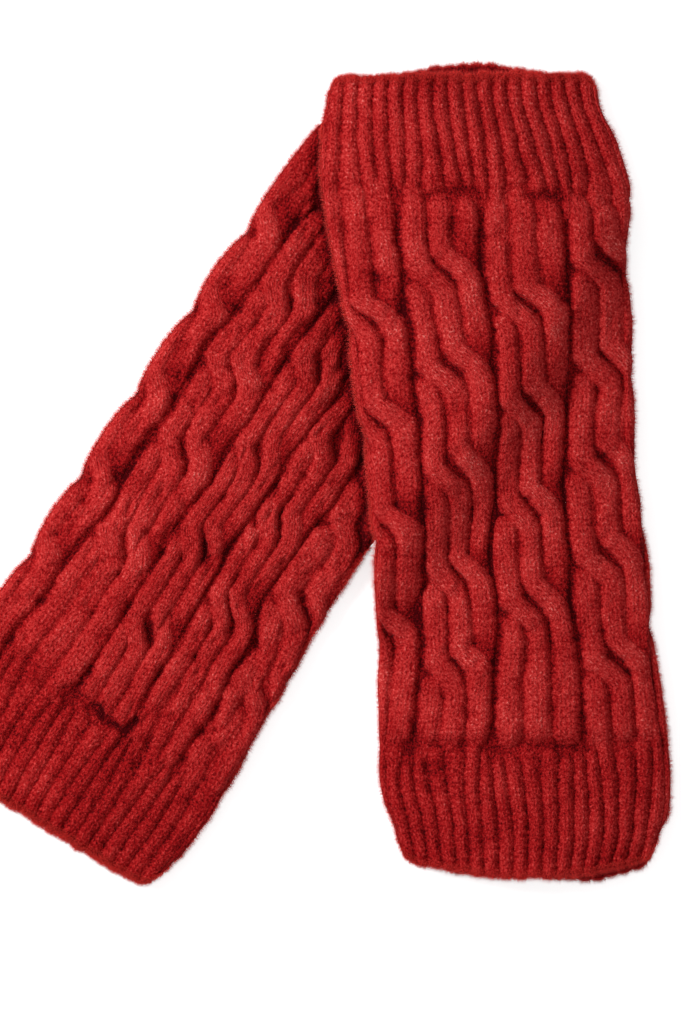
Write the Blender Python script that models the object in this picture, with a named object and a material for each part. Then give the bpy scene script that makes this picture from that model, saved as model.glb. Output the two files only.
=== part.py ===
"""A pair of cable-knitted leg warmers, laid flat.

Each leg warmer is a flattened tube of thick knit in three pieces: a ribbed cuff, a cable-knitted body and a
second ribbed cuff.  Its front panel lies on its back panel, and its two sides are rounded folds.  The lower
leg warmer lies on the ground.  The upper one crosses its top end and comes down to the ground beside it.

Sizes are in millimetres and MM turns them into metres.  In a leg warmer's own frame, `across` runs to its
right, `along` runs down from its top rim and `up` rises from the ground.
"""

import math
from collections import namedtuple

import bmesh
import bpy

MM = 0.001

# Driving sizes, in millimetres.
CUFF_LENGTH = 55.0
SEAM_GAP = 0.3
BODY_WALL = 4.6
CUFF_WALL = 3.6
INNER_GAP = 1.2
WALL_BLEND = 9.0
RIM_ROUNDING = 1.1
RIM_FADE = 32.0

# How the upper leg warmer lies over the lower one.
LAYER_CLEARANCE = 0.8
DRAPE_START = 1.5
DRAPE_REACH = 34.0

# How finely the tubes are faceted.
PANEL_STEPS = 14
FOLD_STEPS = 6
CUFF_RINGS = (1.2, 14.0, 28.0, 42.0)
BODY_STEPS = {"upper": 22, "lower": 16}

# One row for each place along a leg warmer where its outline turns.
Outline = namedtuple("Outline", "along left right")

UPPER_OUTLINE = (
    Outline(0.0, -78.5, 44.5),
    Outline(12.0, -80.0, 46.5),
    Outline(30.0, -81.0, 53.5),
    Outline(52.0, -81.0, 59.5),
    Outline(75.0, -77.0, 58.0),
    Outline(100.0, -72.0, 59.5),
    Outline(145.0, -65.5, 61.5),
    Outline(175.0, -61.0, 62.5),
    Outline(210.0, -58.5, 67.0),
    Outline(255.0, -56.5, 70.5),
    Outline(298.0, -55.0, 76.0),
    Outline(316.0, -55.0, 77.5),
    Outline(336.0, -50.5, 76.0),
    Outline(356.0, -47.0, 71.5),
)

LOWER_OUTLINE = (
    Outline(0.0, -59.0, 61.0),
    Outline(14.0, -62.5, 64.5),
    Outline(36.0, -65.5, 66.0),
    Outline(60.0, -66.5, 66.5),
    Outline(100.0, -67.0, 65.5),
    Outline(143.0, -67.0, 64.5),
    Outline(190.0, -66.5, 63.5),
    Outline(225.0, -66.0, 66.0),
    Outline(270.0, -64.5, 69.5),
    Outline(310.0, -63.5, 73.5),
    Outline(337.0, -60.5, 72.5),
    Outline(357.0, -56.0, 67.5),
)

# The shape of a mouth: `slope` raises its right side, `corner` rounds its ends, and the back panel shows past
# the front one by `peek`, most at `peek_across` and nowhere beyond `peek_reach` from it.  `lift` opens it.
Rim = namedtuple("Rim", "slope corner peek peek_across peek_reach lift")

Garment = namedtuple("Garment", "name centre_across centre_along lean length outline top_rim bottom_rim")

LOWER = Garment(
    name="lower",
    centre_across=-23.8,
    centre_along=-3.3,
    lean=34.5,
    length=357.0,
    outline=LOWER_OUTLINE,
    top_rim=Rim(slope=0.0, corner=9.0, peek=0.0, peek_across=0.0, peek_reach=40.0, lift=0.0),
    bottom_rim=Rim(slope=0.05, corner=8.0, peek=0.0, peek_across=0.0, peek_reach=40.0, lift=1.0),
)
UPPER = Garment(
    name="upper",
    centre_across=90.5,
    centre_along=1.3,
    lean=0.0,
    length=356.0,
    outline=UPPER_OUTLINE,
    top_rim=Rim(slope=0.02, corner=6.5, peek=5.0, peek_across=-12.0, peek_reach=38.0, lift=1.2),
    bottom_rim=Rim(slope=0.0, corner=10.0, peek=3.2, peek_across=16.0, peek_reach=56.0, lift=1.8),
)

KNIT_RED = {
    "cuff": (0.36, 0.016, 0.018, 1.0),
    "body": (0.42, 0.018, 0.019, 1.0),
}
KNIT_ROUGHNESS = 0.92

# A place on a tube's section: `share` of the half-width where its round or flat stretch is centred, and the
# direction, in degrees, that its surface faces there.
Station = namedtuple("Station", "share facing")


def clear_scene():
    """Remove every object that the file starts with."""
    for thing in list(bpy.data.objects):
        bpy.data.objects.remove(thing, do_unlink=True)


def ease(value):
    """Rise smoothly from 0 to 1 as the value does."""
    value = min(1.0, max(0.0, value))
    return value * value * (3.0 - 2.0 * value)


def smooth_column(rows, column, along):
    """Read one column of an outline as a smooth curve through its rows."""
    along = min(max(along, rows[0].along), rows[-1].along)
    index = max(i for i, row in enumerate(rows[:-1]) if row.along <= along)

    def slope_at(i):
        before = rows[max(i - 1, 0)]
        after = rows[min(i + 1, len(rows) - 1)]
        return (getattr(after, column) - getattr(before, column)) / (after.along - before.along)

    start, end = rows[index], rows[index + 1]
    span = end.along - start.along
    t = (along - start.along) / span
    from_start = (1.0 + 2.0 * t) * (1.0 - t) ** 2 * getattr(start, column)
    from_end = t * t * (3.0 - 2.0 * t) * getattr(end, column)
    leaving = t * (1.0 - t) ** 2 * span * slope_at(index)
    arriving = t * t * (t - 1.0) * span * slope_at(index + 1)
    return from_start + from_end + leaving + arriving


def edges(garment, along):
    """The left and right edges of a leg warmer's outline."""
    left = smooth_column(garment.outline, "left", along)
    right = smooth_column(garment.outline, "right", along)
    return left, right


def wall(garment, along):
    """The knit's thickness: thin in the cuffs, thick in the body, with a short blend between."""
    from_cuff = min(along, garment.length - along) - CUFF_LENGTH
    return CUFF_WALL + (BODY_WALL - CUFF_WALL) * ease(from_cuff / WALL_BLEND)


def half_height(garment, along):
    """Half the thickness of the whole flattened tube."""
    return wall(garment, along) + INNER_GAP / 2.0


def drape_height(across, along, garment):
    """How far a leg warmer is raised at a place by what it lies on."""
    if garment is LOWER:
        return 0.0
    east, north = to_ground(garment, across, along)
    lower_across, lower_along = from_ground(LOWER, east, north)
    left, right = edges(LOWER, lower_along)
    beside = max(left - lower_across, lower_across - right, 0.0)
    beyond = max(-lower_along, lower_along - LOWER.length, 0.0)
    distance = math.hypot(beside, beyond)
    inside_along = min(max(lower_along, 0.0), LOWER.length)
    top = 2.0 * half_height(LOWER, inside_along) + LAYER_CLEARANCE
    return top * (1.0 - ease((distance - DRAPE_START) / DRAPE_REACH))


def to_ground(garment, across, along):
    """Turn a place in a leg warmer's own frame into one on the ground."""
    lean = math.radians(garment.lean)
    forward = garment.length / 2.0 - along
    east = garment.centre_across + across * math.cos(lean) + forward * math.sin(lean)
    north = garment.centre_along - across * math.sin(lean) + forward * math.cos(lean)
    return east, north


def from_ground(garment, east, north):
    """Turn a place on the ground into one in a leg warmer's own frame."""
    lean = math.radians(garment.lean)
    east -= garment.centre_across
    north -= garment.centre_along
    across = east * math.cos(lean) - north * math.sin(lean)
    forward = east * math.sin(lean) + north * math.cos(lean)
    return across, garment.length / 2.0 - forward


def rim_pull(rim, across, left, right, is_back):
    """How far a mouth's rim is drawn in towards the middle of the tube."""
    from_side = min(across - left, right - across)
    depth = min(max(rim.corner - from_side, 0.0), rim.corner)
    rounding = rim.corner - math.sqrt(rim.corner ** 2 - depth ** 2)
    bump = max(0.0, 1.0 - abs(across - rim.peek_across) / rim.peek_reach)
    peek = rim.peek * ease(bump) if is_back else 0.0
    return rounding - peek


def section_stations():
    """The places round a section, from the front panel's left end, over to the right and back beneath."""
    turns = [90.0 - 180.0 * i / FOLD_STEPS for i in range(FOLD_STEPS + 1)]
    shares = [-1.0 + 2.0 * i / PANEL_STEPS for i in range(PANEL_STEPS + 1)]
    front = [Station(share, 90.0) for share in shares[1:-1]]
    right_fold = [Station(1.0, turn) for turn in turns]
    back = [Station(-share, -90.0) for share in shares[1:-1]]
    left_fold = [Station(-1.0, turn - 180.0) for turn in turns]
    return front + right_fold + back + left_fold


def ring(garment, along, depth):
    """The points of one ring of a tube, `depth` below its outer surface, in metres."""
    left, right = edges(garment, along)
    radius = half_height(garment, along)
    middle = (left + right) / 2.0
    flat_half_width = (right - left) / 2.0 - radius
    fade_top = 1.0 - ease(along / RIM_FADE)
    fade_bottom = 1.0 - ease((garment.length - along) / RIM_FADE)
    points = []
    for station in section_stations():
        facing = math.radians(station.facing)
        is_back = math.sin(facing) < -0.5
        centre = middle + station.share * flat_half_width
        across = centre + (radius - depth) * math.cos(facing)
        up = radius + (radius - depth) * math.sin(facing)
        outside = centre + radius * math.cos(facing)
        top_pull = rim_pull(garment.top_rim, outside, left, right, is_back)
        top_pull -= garment.top_rim.slope * across
        bottom_pull = rim_pull(garment.bottom_rim, outside, left, right, is_back)
        bottom_pull += garment.bottom_rim.slope * across
        pulled = along + top_pull * fade_top - bottom_pull * fade_bottom
        is_front = math.sin(facing) > 0.5
        if is_front:
            slack = 1.0 - station.share ** 2
            up += slack * (garment.top_rim.lift * fade_top + garment.bottom_rim.lift * fade_bottom)
        up += drape_height(across, pulled, garment)
        points.append((across * MM, (garment.length / 2.0 - pulled) * MM, up * MM))
    return points


def ring_list(garment, piece):
    """Where one piece's rings lie along the tube, each with how much its edges are rounded off."""
    top_seam = CUFF_LENGTH
    bottom_seam = garment.length - CUFF_LENGTH
    half_gap = SEAM_GAP / 2.0
    if piece == "top_cuff":
        return [(0.0, RIM_ROUNDING)] + [(a, 0.0) for a in CUFF_RINGS] + [(top_seam - half_gap, 0.0)]
    if piece == "bottom_cuff":
        inner = [(garment.length - a, 0.0) for a in reversed(CUFF_RINGS)]
        return [(bottom_seam + half_gap, 0.0)] + inner + [(garment.length, RIM_ROUNDING)]
    start = top_seam + half_gap
    length = bottom_seam - half_gap - start
    steps = BODY_STEPS[garment.name]
    return [(start + length * i / steps, 0.0) for i in range(steps + 1)]


def tube_mesh(garment, piece):
    """One piece of a leg warmer: an outer and an inner skin, joined at both ends."""
    shape = bmesh.new()
    skins = []
    for is_inner in (False, True):
        rings = []
        for along, rounding in ring_list(garment, piece):
            depth = wall(garment, along) - rounding if is_inner else rounding
            rings.append([shape.verts.new(point) for point in ring(garment, along, depth)])
        skins.append(rings)
    outer, inner = skins
    for rings in skins:
        for first, second in zip(rings, rings[1:]):
            bridge(shape, first, second)
    bridge(shape, outer[0], inner[0])
    bridge(shape, outer[-1], inner[-1])
    bmesh.ops.recalc_face_normals(shape, faces=shape.faces)
    mesh = bpy.data.meshes.new(garment.name + "_" + piece)
    shape.to_mesh(mesh)
    shape.free()
    mesh.shade_smooth()
    mesh.set_sharp_from_angle(angle=math.radians(60.0))
    return mesh


def bridge(shape, first, second):
    """Fill the band between two closed rings that have the same number of points."""
    count = len(first)
    for i in range(count):
        j = (i + 1) % count
        shape.faces.new((first[i], first[j], second[j], second[i]))


def knit_material(name, colour):
    """Matt red wool."""
    material = bpy.data.materials.new(name)
    material.use_nodes = True
    surface = material.node_tree.nodes["Principled BSDF"]
    surface.inputs["Base Color"].default_value = colour
    surface.inputs["Roughness"].default_value = KNIT_ROUGHNESS
    surface.inputs["Metallic"].default_value = 0.0
    return material


def add_garment(garment):
    """Build a leg warmer's three pieces under an empty that holds its place and lean."""
    holder = bpy.data.objects.new(garment.name + "_place", None)
    holder.location = (garment.centre_across * MM, garment.centre_along * MM, 0.0)
    holder.rotation_euler = (0.0, 0.0, -math.radians(garment.lean))
    bpy.context.collection.objects.link(holder)
    for piece in ("top_cuff", "body", "bottom_cuff"):
        name = garment.name + "_" + piece
        kind = "body" if piece == "body" else "cuff"
        tube = bpy.data.objects.new(name, tube_mesh(garment, piece))
        tube.data.materials.append(knit_material(name + "_knit", KNIT_RED[kind]))
        tube.parent = holder
        bpy.context.collection.objects.link(tube)


def build():
    clear_scene()
    add_garment(LOWER)
    add_garment(UPPER)


build()
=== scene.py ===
"""A pair of cable-knitted leg warmers, laid flat: the knit, its fuzz and its finish, whose colour carries
painted light and shade.

Every knitted piece is a closed shell on the form of its CAD solid.  The form and the stitches are worked out
in millimetres in each leg warmer's own frame: `across` runs to its right, `along` runs down from its top rim,
`up` rises from the ground, and `turn` runs once round the tube, one unit for each of its cable columns.
"""

import math
from collections import namedtuple

import bpy
import numpy as np
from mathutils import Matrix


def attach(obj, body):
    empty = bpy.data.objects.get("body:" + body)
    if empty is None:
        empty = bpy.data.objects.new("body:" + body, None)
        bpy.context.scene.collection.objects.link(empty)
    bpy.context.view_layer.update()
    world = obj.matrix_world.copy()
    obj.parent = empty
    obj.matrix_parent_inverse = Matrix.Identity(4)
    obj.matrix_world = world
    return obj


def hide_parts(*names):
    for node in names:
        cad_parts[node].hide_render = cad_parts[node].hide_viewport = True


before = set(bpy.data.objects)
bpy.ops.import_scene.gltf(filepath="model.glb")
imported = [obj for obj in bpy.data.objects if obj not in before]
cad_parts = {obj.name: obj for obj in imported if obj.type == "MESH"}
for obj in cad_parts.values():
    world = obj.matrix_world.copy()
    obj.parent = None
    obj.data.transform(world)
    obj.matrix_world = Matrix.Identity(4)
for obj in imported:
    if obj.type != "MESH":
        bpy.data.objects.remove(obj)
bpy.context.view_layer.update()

MM = 0.001


def table(kind, *rows):
    """Rows of numbers as records, which have the names of their columns."""
    return [kind(*row) for row in rows]


# A change that comes smoothly: where it starts, and how long it takes.
Change = namedtuple("Change", "start length")

# The form, as the solids have it: the walls, and how the upper leg warmer drapes over the lower one.
CUFF_LENGTH = 55.0
BODY_WALL = 4.6
CUFF_WALL = 3.6
THICKENING = Change(0.0, 9.0)
INNER_GAP = 1.2
RIM_FADING = Change(0.0, 32.0)
BOW_BALANCE = 0.35
LAYER_CLEARANCE = 0.8
DRAPING = Change(1.5, 34.0)

# The tube's front and back face up and down by more than this sine, and its folds by less.
FLAT_SINE = 0.5

# How the upper leg warmer presses the lower one: how far round it, how deep, and how much gap it shuts.
PRESS_EASING = Change(1.0, 24.0)
PRESS_DEPTH = 0.8
GAP_SHUT = 0.8

# The knit.  Shares are of a cable column's width, which is about COLUMN_WIDTH.
COLUMNS = 8
COLUMN_WIDTH = 35.0
ROW_HEIGHT = 2.6
STITCH_WIDTH = 3.8
STITCHES_PER_STRAND = 3.0
CREST_DEPTH = 0.8
FLOOR_DEPTH = 3.9
LEAST_WALL = 0.8

# The strands of a cable, with one more place for them than a column shows.  The stitches of one column's
# strands are numbered from ORDERS_APART more than the last one's.
STRAND_SLOTS = 4
ORDERS_APART = 12
STRAND_PITCH = 0.315
STRAND_REACH = 0.165
STRAND_BULGE = 2.9
STRAND_POWER = 3.3

# The plain knit between the strands, down to the gutters at a column's sides.
WEB_DEPTH = 1.7
WEB_DEPTH_AT_CROSSING = 3.7
WEB_REACH = 10.0
WEB_EDGE = Change(0.33, 0.08)

# The calm knit at the folds.
FOLD_CALM = 7.0
FOLD_LEVEL = 0.6
FOLD_NOTCH = 4.3
FOLD_NOTCH_PLACE = 5.0
FOLD_NOTCH_ROUND = 1.5
FOLD_NOTCH_REACH = 7.0

# The ribs of the cuffs, and the rims.
RIBS_ROUND = 39
RIB_START = 0.70
RIB_REACH = 0.50
RIB_WAIST = 0.88
RIB_ROWS = 0.20
RIB_BULGE = 1.85
RIB_POWER = 2.3
RIB_CROWDING = 0.30
RIB_CROWDING_REACH = 16.0
RIB_TIP_LENGTH = 6.5
RIM_DEPTH = 1.2
RIM_RELIEF = 0.25
RIM_ROUGHENING = Change(0.6, 2.4)
RIM_SCALLOP = 1.3
RIM_SCALLOP_REACH = 4.0
SCALLOP_EVENNESS = 0.6

# A crossing: two strands move one place to the right over a third, and a new one comes up at the left.
TRAVEL_LENGTH = 17.0
TRAVEL_LEAD = 3.3
LEADER_HASTE = 0.75
FOLLOWER_HASTE = 0.95
LEAD_LUCK = 0.25
LEADER_LUCK = 0.18
FOLLOWER_LUCK = 0.15
CROSSING_LIFT = 0.75
FOLLOWER_LIFT = 0.7
SINK_DEPTH = 1.5
PLUNGE_DEPTH = 3.2
RISE_DEPTH = 0.9
TIP_START = 1.8
TIP_LENGTH = 6.5
SPREAD = 0.10

# Changes along a crossing, which start so far below its middle.
LIFTING = Change(-11.0, 9.0)
SETTLING = Change(1.0, 18.0)
SINKING = Change(-24.0, 24.0)
PLUNGING = Change(1.0, 7.0)
SURFACING = Change(TIP_START, 14.0)
MAKING_ROOM = Change(-12.0, 12.0)
MOVING_IN = Change(4.0, 12.0)
# The next four set where painted highlight and shade on the strands come and go.
LIGHTENING = Change(-13.0, 9.0)
DULLING = Change(2.0, 18.0)
DARKENING = Change(-26.0, 24.0)
TIP_DIMMING = Change(4.0, 22.0)

# The seams of body and cuffs: how far strands and ribs run past them, and how the cloth is drawn in.
SEAM_TIP_LENGTH = 9.0
SEAM_OVERLAPS = (9.0, 4.0, 2.0, 4.5, 5.0, 4.0, 6.0, 4.0)
SEAM_SHIFT = 5.5
SEAM_CROSSING = Change(-4.0, 8.0)
SEAM_DIP = 0.8
SEAM_DIP_REACH = 3.0
SEAM_PINCH = 1.6
SEAM_PINCH_REACH = 6.0
SEAM_PINCH_WIDTH = 0.07

# Unevenness of the knit: how much, how many cells it has for each of its places round the tube, how long they
# are, and its seed.
Unevenness = namedtuple("Unevenness", "amount places cells length seed")

SWAY = Unevenness(1.0, COLUMNS, 1, 17.0, 5)
WEB_LEVELS = Unevenness(0.5, COLUMNS, 3, 17.0, 12)
SEAM_DIPS = Unevenness(0.75, COLUMNS, 2, 60.0, 2)
WAVES = Unevenness(0.4, COLUMNS, 1, 38.0, 10)
LUMPS = Unevenness(1.0, COLUMNS, 3, 13.0, 0)
PUFFS = Unevenness(1.0, COLUMNS, 8, 5.5, 14)
GRAIN = Unevenness(0.16, COLUMNS, 22, 2.2, 1)
STRAND_WIDTHS = Unevenness(0.09, STRAND_SLOTS * COLUMNS, 1, 23.0, 6)
STRAND_LEVELS = Unevenness(0.3, STRAND_SLOTS * COLUMNS, 1, 15.0, 7)
STRAND_TEETH = Unevenness(0.09, STRAND_SLOTS * COLUMNS, 2, ROW_HEIGHT, 15)
RIB_DRIFT = Unevenness(0.06, COLUMNS, 2, 9.0, 8)
RIB_LEVELS = Unevenness(0.3, RIBS_ROUND, 1, 14.0, 9)
RIB_TEETH = Unevenness(0.18, RIBS_ROUND, 2, 2.1, 13)
STRAND_SEED = 23
RIB_SEED = 4
LUCK_SEED = 20

# How deep the lumps, puffs and dents go in cloth that wanders by 1, and where a puff turns into a dent.
LUMP_DEPTH = 7.0
PUFF_DEPTH = 5.0
DENT_DEPTH = 28.0
DENT_START = 0.45

# The fuzz: short fibres standing off the knit, at its folds and rims and on its front. The edge fibres are
# coloured lighter, as painted light for fuzz glowing at the outline, and the front ones darker, as painted
# shade for the hollows they lie in.
Fuzz = namedtuple("Fuzz", "name fibres lengths lifts colour")

FUZZES = (
    Fuzz("edge", 33000, lengths=(1.0, 3.3), lifts=(0.6, 1.5), colour=(0.92, 0.065, 0.055, 1.0)),
    Fuzz("front", 9500, lengths=(0.9, 2.2), lifts=(0.1, 0.7), colour=(0.62, 0.045, 0.040, 1.0)),
)
FIBRE_TRIES = 900000
FIBRE_RADIUS = 0.055
FIBRE_ROOT = 0.1
FIBRE_SKEW = (0.3, 0.1, 0.2)
EDGE_SINES = (-0.5, 0.5)
LOWEST_ROOT = 0.6
LOWEST_TIP = 0.2
RIM_ZONE = (0.2, 3.0)
RIM_CROWD = 0.025
RIM_SPLAY = 1.5

# The wool's colours, from its deepest to its lightest, and its shine. The lightest is paler and the deepest
# richer, as lit and shaded wool looks, so the ramp also colours painted light and shade.
WOOL_COLOURS = (
    (0.060, 0.0005, 0.0018, 1.0),
    (0.35, 0.0060, 0.0075, 1.0),
    (0.64, 0.0420, 0.0390, 1.0),
    (1.0, 0.2800, 0.2350, 1.0),
)
WOOL_ROUGHNESS = 0.95
WOOL_SHINE = 0.05
SHEEN_WEIGHT = 0.15
SHEEN_ROUGHNESS = 0.35
SHEEN_COLOUR = (1.0, 0.35, 0.32, 1.0)

# The wool's tone, from 0 for the deepest colour to 1 for the lightest: its level, and what each thing adds.
# Stitches, tufts, flecks, mottle and RIB_TONE belong to the wool's own colour. The rest is painted light and
# shade: shade in the knit's hollows, highlight on strands as they rise to a crossing, shade on those that
# sink under one and at the rib ends by the seams, and a highlight on the tip of each new strand.
TONE_LEVEL = 0.466
STITCH_TONE = 0.12
TUFT_TONE = 0.85
FLECK_TONE = 1.02
MOTTLE_TONE = 0.5
GROOVE_SHADE = -0.43
FOLLOWER_HIGHLIGHT = 0.01
LEADER_HIGHLIGHT = 0.03
SUNK_SHADE = -0.19
TIP_HIGHLIGHT = 0.04
RIB_TONE = -0.02
RIB_END_SHADE = -0.03
RIB_END_PLACE = 6.0
RIB_END_REACH = 9.0

# Shade where little light comes: by the upper leg warmer, in creases and mouths, and at the bottom ends.
CONTACT_SHADE = 0.30
CONTACT_FADING = Change(0.0, 7.0)
CREASE_SHADE = 0.08
MOUTH_SHADE = 0.42
MOUTH_DARKENING = Change(0.3, 1.4)
FOOT_SHADE = 0.07
FOOT_DARKENING = Change(-72.0, 30.0)

# How deep in its gutters the inside of the cloth looks, from 0 for its crests to 1 for their floor, which
# sets the painted shade it is given.
INNER_SHADE = 0.3

# The wool's texture: how fine its flecks and mottling are, in cells to the metre, and its tufts, in cells to
# the millimetre, which are longer than wide by TUFT_STRETCH.  Then how much each stands out in the bump.
FLECK_SCALE = 1150.0
MOTTLE_SCALE = 60.0
TUFT_SCALE = 0.75
TUFT_STRETCH = 1.25
TUFT_WARP = 2.0
STITCH_SLANT = 1.3
STITCH_SHARPNESS = 0.6
STITCH_BUMP = 0.5
TUFT_BUMP = 1.4
FLECK_BUMP = 0.9
BUMP_STRENGTH = 0.75
BUMP_DISTANCE = 0.0007

# The stage, in metres.  FLOOR_GLOW is how white the floor is to the eye, over the light that falls on it.
FLOOR_SIZE = 6.0
FLOOR_GREY = (0.80, 0.80, 0.80, 1.0)
FLOOR_GLOW = 0.72
WHITE = (1.0, 1.0, 1.0, 1.0)
LAMP_PLACE = (-1.38, 0.60, 1.08)
LAMP_SIZE = 0.7
LAMP_POWER = 30.5
SKY_STRENGTH = 0.42
CAMERA_PLACE = (0.01895, -0.0164, 3.0)
SENSOR_WIDTH = 36.0
VIEW_HEIGHT = 0.4608

# The meshes.
FINE_COLUMNS = 5
FINE_SAMPLES = 58
COARSE_SAMPLES = 22
BODY_OUTER_RINGS = 268
CUFF_OUTER_RINGS = 74
INNER_RINGS = 7
RIM_STEPS = 7
SEAM_RING = 0.04
GIRTH_SAMPLES = 20

Outline = namedtuple("Outline", "along left right")

UPPER_OUTLINE = table(
    Outline,
    (0, -78.5, 44.5),
    (12, -80, 46.5),
    (30, -81, 53.5),
    (52, -81, 59.5),
    (75, -77, 58),
    (100, -72, 59.5),
    (145, -65.5, 61.5),
    (175, -61, 62.5),
    (210, -58.5, 67),
    (255, -56.5, 70.5),
    (298, -55, 76),
    (316, -55, 77.5),
    (336, -50.5, 76),
    (356, -47, 71.5),
)

LOWER_OUTLINE = table(
    Outline,
    (0, -59, 61),
    (14, -62.5, 64.5),
    (36, -65.5, 66),
    (60, -66.5, 66.5),
    (100, -67, 65.5),
    (143, -67, 64.5),
    (190, -66.5, 63.5),
    (225, -66, 66),
    (270, -64.5, 69.5),
    (310, -63.5, 72.5),
    (337, -60.5, 71.5),
    (357, -56, 70),
)

# Where the gutters at the sides of the front's four cable columns run, as places across, measured round the
# folds where they lie beyond an edge.
Gutters = namedtuple("Gutters", "along first second third fourth fifth")
GUTTER_NAMES = Gutters._fields[1:]

UPPER_GUTTERS = table(
    Gutters,
    (0, -89, -53, -17.5, 16, 51),
    (30, -88, -52, -15.5, 20, 56),
    (56, -83.5, -46.2, -9.6, 27.6, 65),
    (77, -82.5, -45.4, -8.8, 29, 66.5),
    (97, -80.5, -42.7, -7.2, 31.2, 68.5),
    (110, -79, -41.6, -5, 31.4, 68.7),
    (133, -76.5, -38.5, -2.8, 31, 68.3),
    (155, -74, -36.6, -1.2, 29.2, 66.8),
    (172, -72.5, -34.9, -3.2, 28.9, 66.7),
    (195, -71, -33.9, -2.2, 29.8, 67.5),
    (217, -71, -34.4, -3.2, 31.3, 68.6),
    (244, -72, -35.6, -0.8, 33.1, 69),
    (266, -72.5, -34.8, -2.6, 36.4, 70.3),
    (290, -75, -38.4, -3.6, 37.2, 73.2),
    (310, -77, -41.5, -5.5, 38.5, 74.5),
    (356, -73, -37, -2.5, 37, 71),
)

LOWER_GUTTERS = table(
    Gutters,
    (0, -74, -40, -10, 18, 46),
    (55, -81, -45, -13, 14, 42),
    (100, -83, -47, -14.4, 12, 40),
    (130, -84, -47.8, -16, 12.3, 37.5),
    (157, -83.5, -47.3, -14.4, 9.6, 38.6),
    (180, -82, -46, -12.8, 10.5, 37.2),
    (204, -81, -44.7, -12.8, 11.2, 37.1),
    (218, -81, -44.6, -12.4, 12, 37.8),
    (235, -80, -43.7, -11.6, 13, 41.4),
    (258, -80, -45.1, -10.3, 15.8, 44.6),
    (281, -81, -45.8, -9.7, 17.6, 46.6),
    (300, -82, -47, -10.4, 20, 47.6),
    (357, -79, -44, -12, 19, 46),
)

# Where each cable column crosses, as places along, column by column round the tube from the left fold.
UPPER_CROSSINGS = (
    (109.5, 156, 203, 249),
    (89, 132.5, 178.5, 224.5, 266),
    (104, 148.5, 194, 238),
    (84.5, 130, 174.5, 217.5, 264),
    (104, 150, 196, 241),
    (87, 131, 175, 220, 263),
    (103, 148, 194, 240),
    (86, 131, 176, 221, 264),
)

LOWER_CROSSINGS = (
    (80, 123, 168, 213.5, 255.5),
    (99, 143, 183, 234),
    (75, 119, 166, 212, 259),
    (97, 143, 187, 230.5),
    (79, 124, 170, 212, 253),
    (99, 142, 186, 232),
    (76, 121, 166, 211, 256),
    (98, 143, 187, 232),
)

# Creases in the cloth: a soft trough from one place to another.
Crease = namedtuple("Crease", "across along to_across to_along width depth")

UPPER_CREASES = table(
    Crease,
    (12, 54, 26, 55, 2.6, 1.3),
    (-20, 50.5, -10, 53.5, 2.4, 1),
    (-62, 88, -50, 92, 3, 0.8),
    (42, 84, 54, 87, 2.8, 1),
    (14, 300, 40, 301.5, 2.4, 1.2),
    (-30, 300.5, -12, 299, 2.2, 0.9),
    (-50, 214, -38, 217, 3.4, 0.8),
)

LOWER_CREASES = table(
    Crease,
    (3.4, 298.5, 6, 301.2, 1.5, 2.4),
    (6, 301.2, 18.5, 301.2, 1.5, 3),
    (18.5, 301.2, 20.3, 294, 1.5, 2.4),
    (-9, 286, -9, 294, 1.8, 1.4),
    (-8, 299, 3, 300, 2.4, 0.9),
    (2, 212, 6, 218, 2.4, 1.6),
    (1.5, 257, 4.5, 261, 2.2, 1.4),
    (50, 206, 60, 212, 2.8, 1.2),
    (44, 296, 62, 298, 2.4, 0.8),
)

# A mouth's rim: its slope, rounded corners and bow, how far and where its back shows past it, and its lift.
Rim = namedtuple("Rim", "slope corner bow peek peek_across peek_reach lift")

PLAIN_RIM = Rim(slope=0.0, corner=9.0, bow=0.0, peek=0.0, peek_across=0.0, peek_reach=40.0, lift=0.0)

# A leg warmer.  It leans by `lean` degrees, its cuffs swell and its front domes up.  `calm` smooths its two
# folds, `relief` scales its knit, `wander` makes it uneven, and `shade` darkens it.
Garment = namedtuple(
    "Garment",
    "name centre_across centre_along lean length outline gutters crossings creases top_rim bottom_rim"
    " swell dome calm relief wander shade seed",
)

LOWER = Garment(
    name="lower",
    centre_across=-23.8,
    centre_along=-3.3,
    lean=34.5,
    length=357.0,
    outline=LOWER_OUTLINE,
    gutters=LOWER_GUTTERS,
    crossings=LOWER_CROSSINGS,
    creases=LOWER_CREASES,
    top_rim=PLAIN_RIM,
    bottom_rim=PLAIN_RIM._replace(slope=0.05, corner=13.0, lift=1.0),
    swell=(0.0, 1.0),
    dome=2.4,
    calm=(0.95, 0.35),
    relief=0.73,
    wander=0.058,
    shade=0.035,
    seed=3,
)

UPPER = Garment(
    name="upper",
    centre_across=90.5,
    centre_along=1.3,
    lean=0.0,
    length=356.0,
    outline=UPPER_OUTLINE,
    gutters=UPPER_GUTTERS,
    crossings=UPPER_CROSSINGS,
    creases=UPPER_CREASES,
    top_rim=PLAIN_RIM._replace(slope=0.02, peek=5.8, peek_across=-14.0, peek_reach=41.0, lift=1.2),
    bottom_rim=PLAIN_RIM._replace(bow=9.0, peek=3.8, peek_across=48.0, peek_reach=34.0, lift=1.8),
    swell=(1.3, 1.2),
    dome=5.4,
    calm=(0.5, 0.55),
    relief=1.0,
    wander=0.03,
    shade=0.0,
    seed=11,
)


# ---- curves and noise

def ease(value):
    """Rise smoothly from 0 to 1 with a value."""
    value = np.clip(value, 0.0, 1.0)
    return value * value * (3.0 - 2.0 * value)


def changed(place, change):
    """How much of a change has happened at a place: 0 before it starts and 1 once it is over."""
    return ease((place - change.start) / change.length)


def bell(distance, reach):
    """1 where the distance is nothing, fading smoothly to 0 beyond the reach."""
    return np.exp(-(distance / reach) ** 2)


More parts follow.
